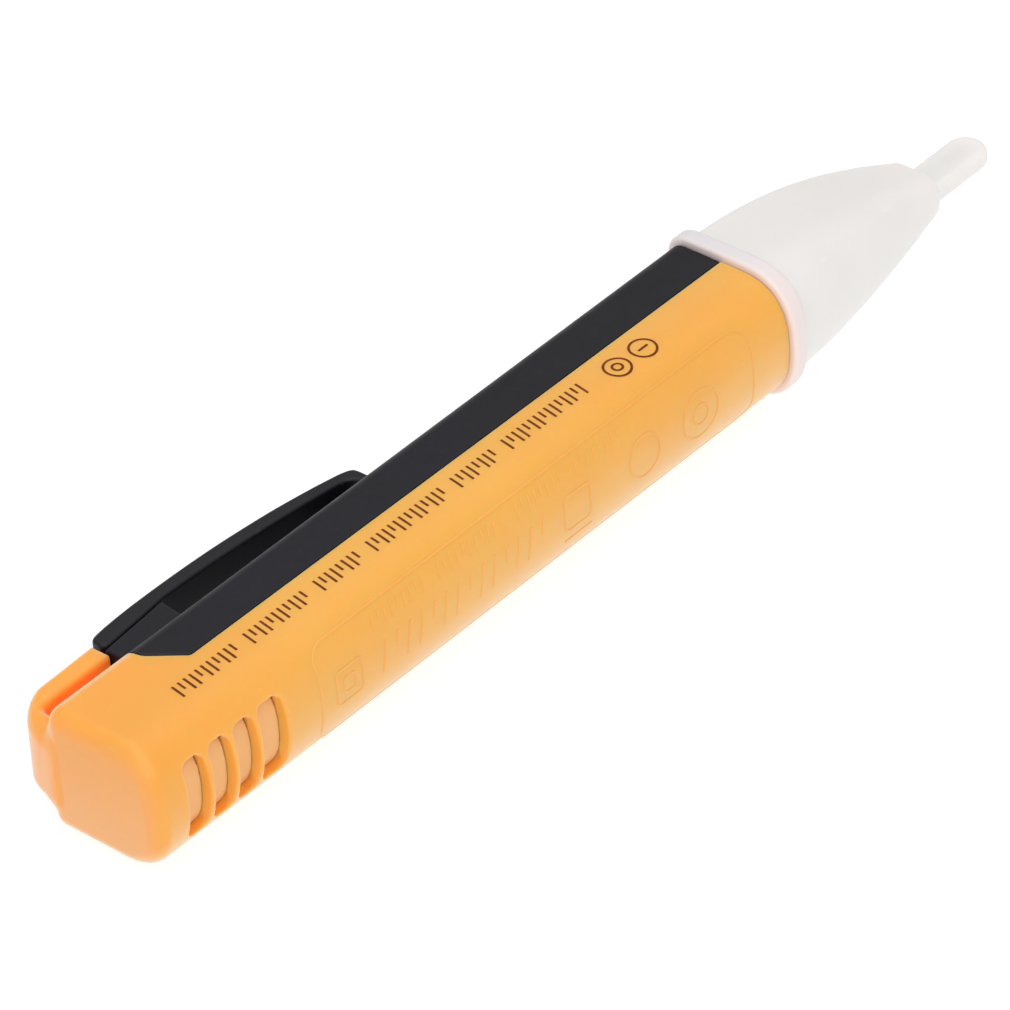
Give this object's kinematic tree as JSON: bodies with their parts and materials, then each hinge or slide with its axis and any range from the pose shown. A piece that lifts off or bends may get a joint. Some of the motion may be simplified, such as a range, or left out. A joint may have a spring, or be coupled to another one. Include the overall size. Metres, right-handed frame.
{
  "type": "non contact voltage tester",
  "caption": "Pen-shaped non contact voltage tester: moulded sleeve with front strip and pocket clip, translucent blade nose and slide-out inner carrier.",
  "frame": {"origin": "centre of the flat rear end face", "axes": "+X from the rear end to the blade tip, +Y towards the front strip, clip and button, +Z towards the upper flank as the tester lies on its side"},
  "size_m": [0.152, 0.025, 0.0176],
  "materials": {
    "orange_shell": "satin moulded plastic, fine spark texture",
    "black_shell": "satin moulded plastic",
    "button": "fine matt plastic",
    "white_collar": "satin moulded plastic",
    "nose_translucent": "translucent satin plastic",
    "carrier": "moulded plastic",
    "tongue": "moulded plastic",
    "cell_can": "nickel plated steel",
    "cell_jacket": "shrink sleeve",
    "contact_metal": "nickel plated spring steel",
    "board": "solder mask over glass epoxy",
    "switch_body": "moulded",
    "switch_plunger": "moulded",
    "led_lens": "tinted epoxy",
    "buzzer_case": "moulded",
    "chip_case": "moulded epoxy",
    "capacitor_sleeve": "printed sleeve",
    "resistor": "ceramic chip",
    "antenna_brass": "rolled strip"
  },
  "bodies": {
    "housing": {"outer_sleeve": "orange_shell", "front_spine": "black_shell"},
    "clip": {"pocket_clip": "black_shell"},
    "button": {"power_button": "button"},
    "carrier": {"tip_collar": "white_collar", "nose_cone": "nose_translucent", "chassis_tray": "carrier", "battery_rear_can": "cell_can", "battery_front_can": "cell_can", "battery_rear_jacket": "cell_jacket", "battery_front_jacket": "cell_jacket", "rear_spring_contact": "contact_metal", "rear_contact_plate": "contact_metal", "front_contact_plate": "contact_metal", "battery_return_strip": "contact_metal", "circuit_board": "board", "tact_switch_body": "switch_body", "tip_led": "led_lens", "piezo_buzzer": "buzzer_case", "controller_chip": "chip_case", "filter_capacitor": "capacitor_sleeve", "transistor": "chip_case", "resistor_1": "resistor", "resistor_2": "resistor", "resistor_3": "resistor", "resistor_4": "resistor", "sensor_antenna": "antenna_brass"},
    "switch_plunger": {"tact_switch_plunger": "switch_plunger"},
    "tongue": {"release_tongue": "tongue"}
  },
  "joints": [
    {"name": "clip_flex", "type": "hinge", "parent": "housing", "child": "clip", "pos_m": [0.0156, 0.0128, 0], "axis": [0, 0, 1], "range_deg": [0, 6], "stiffness_Nm_per_rad": 0.3},
    {"name": "power_button_press", "type": "slide", "parent": "housing", "child": "button", "axis": [0, -1, 0], "range_m": [0, 0.00035], "stiffness_N_per_m": 8},
    {"name": "carrier_slide", "type": "slide", "parent": "housing", "child": "carrier", "axis": [1, 0, 0], "range_m": [0, 0.108]},
    {"name": "switch_plunger_press", "type": "slide", "parent": "carrier", "child": "switch_plunger", "axis": [0, -1, 0], "range_m": [0, 0.00035]},
    {"name": "release_tongue_flex", "type": "hinge", "parent": "carrier", "child": "tongue", "pos_m": [0.024, -0.0068, 0], "axis": [0, 0, -1], "range_deg": [0, 1.6], "stiffness_Nm_per_rad": 0.004}
  ],
  "couplings": [
    {"joint": "switch_plunger_press", "follows": "power_button_press", "ratio": 1}
  ]
}
